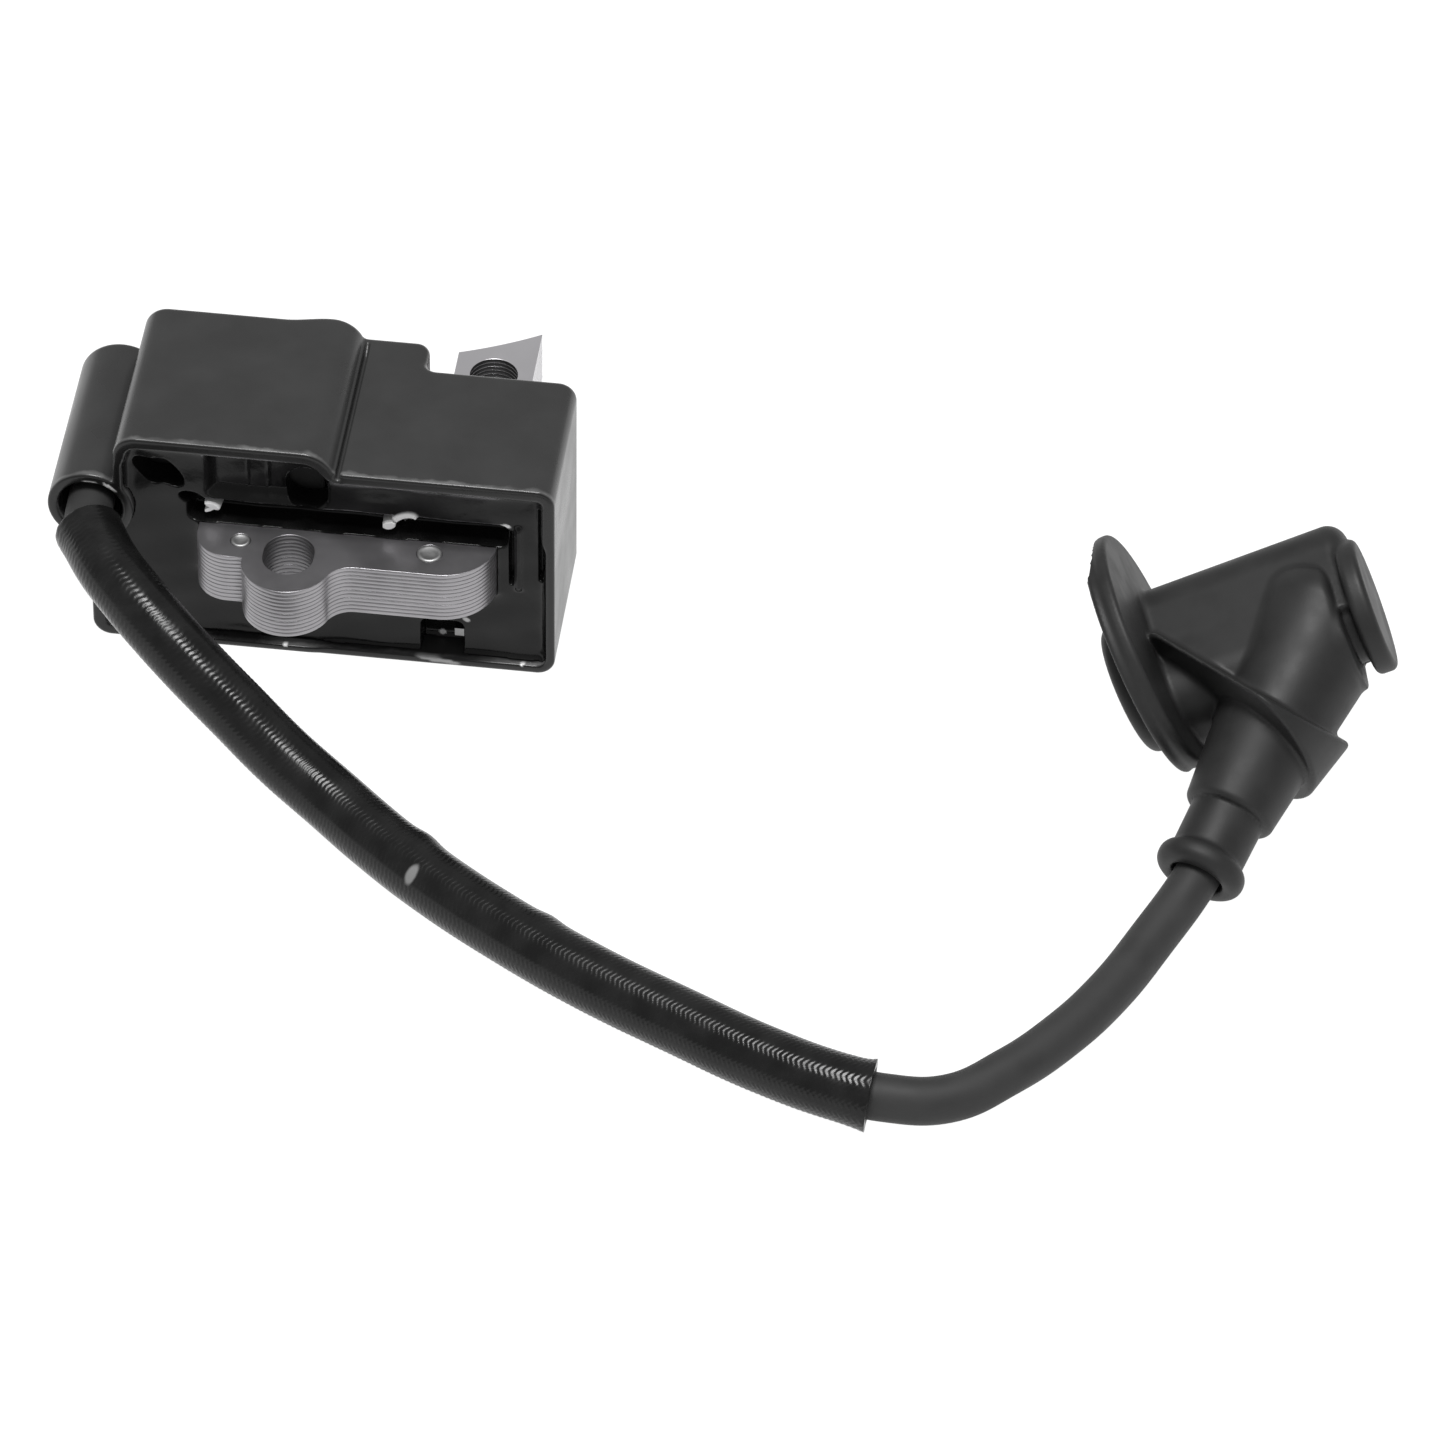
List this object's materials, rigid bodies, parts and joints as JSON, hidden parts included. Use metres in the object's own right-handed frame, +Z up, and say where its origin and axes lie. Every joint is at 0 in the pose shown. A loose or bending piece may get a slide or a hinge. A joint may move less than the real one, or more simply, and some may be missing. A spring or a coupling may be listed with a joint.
{
  "type": "ignition coil",
  "caption": "Potted ignition coil module on a U-shaped laminated core with lug and pole leg, high-tension lead in a woven sleeve, and an angled rubber spark plug boot.",
  "frame": {"origin": "centre of the module's box at its underside, measured without the lead and boot", "axes": "+X along the housing's width away from the lead boss, +Y from the potted face towards the flywheel, +Z up from the housing's underside"},
  "size_m": [0.1441, 0.1019, 0.0282],
  "materials": {
    "housing_plastic": "satin black moulded plastic, light scuffs on the rim",
    "potting_resin": "glossy near-black casting resin with menisci and small spots",
    "core_steel": "dull grey punched electrical steel sheet",
    "rivet_steel": "flush pressed steel rivet",
    "bobbin_plastic": "dark grey moulded plastic",
    "copper": "enamelled copper wire and strip",
    "brass": "turned brass",
    "tinned_metal": "tinned metal",
    "circuit_board": "green glass-fibre board",
    "film_coating": "brown dipped coating",
    "component_black": "black moulded component",
    "lead_jacket": "matte dark grey rubber jacket",
    "sleeve_braid": "woven glossy black fibre sleeve",
    "boot_rubber": "matte black moulded rubber with a slight sheen",
    "spring_steel": "bright spring steel wire"
  },
  "bodies": {
    "root": {"housing": "housing_plastic", "potting_resin": "potting_resin", "core_lamination_01": "core_steel", "core_lamination_02": "core_steel", "core_lamination_03": "core_steel", "core_lamination_04": "core_steel", "core_lamination_05": "core_steel", "core_lamination_06": "core_steel", "core_lamination_07": "core_steel", "core_lamination_08": "core_steel", "core_lamination_09": "core_steel", "core_lamination_10": "core_steel", "core_lamination_11": "core_steel", "core_lamination_12": "core_steel", "ht_terminal": "brass", "core_rivet_1": "rivet_steel", "core_rivet_2": "rivet_steel", "primary_bobbin": "bobbin_plastic", "secondary_bobbin": "bobbin_plastic", "charge_bobbin": "bobbin_plastic", "primary_winding": "copper", "charge_winding": "copper", "ground_strap": "copper", "secondary_winding_1": "copper", "secondary_winding_2": "copper", "secondary_winding_3": "copper", "secondary_winding_4": "copper", "circuit_board": "circuit_board", "capacitor": "film_coating", "resistor": "film_coating", "thyristor": "component_black", "diode_1": "component_black", "diode_2": "component_black", "stop_terminal": "tinned_metal", "ignition_lead": "lead_jacket", "protective_sleeve": "sleeve_braid", "boot_body": "boot_rubber", "plug_spring": "spring_steel"}
  },
  "joints": []
}
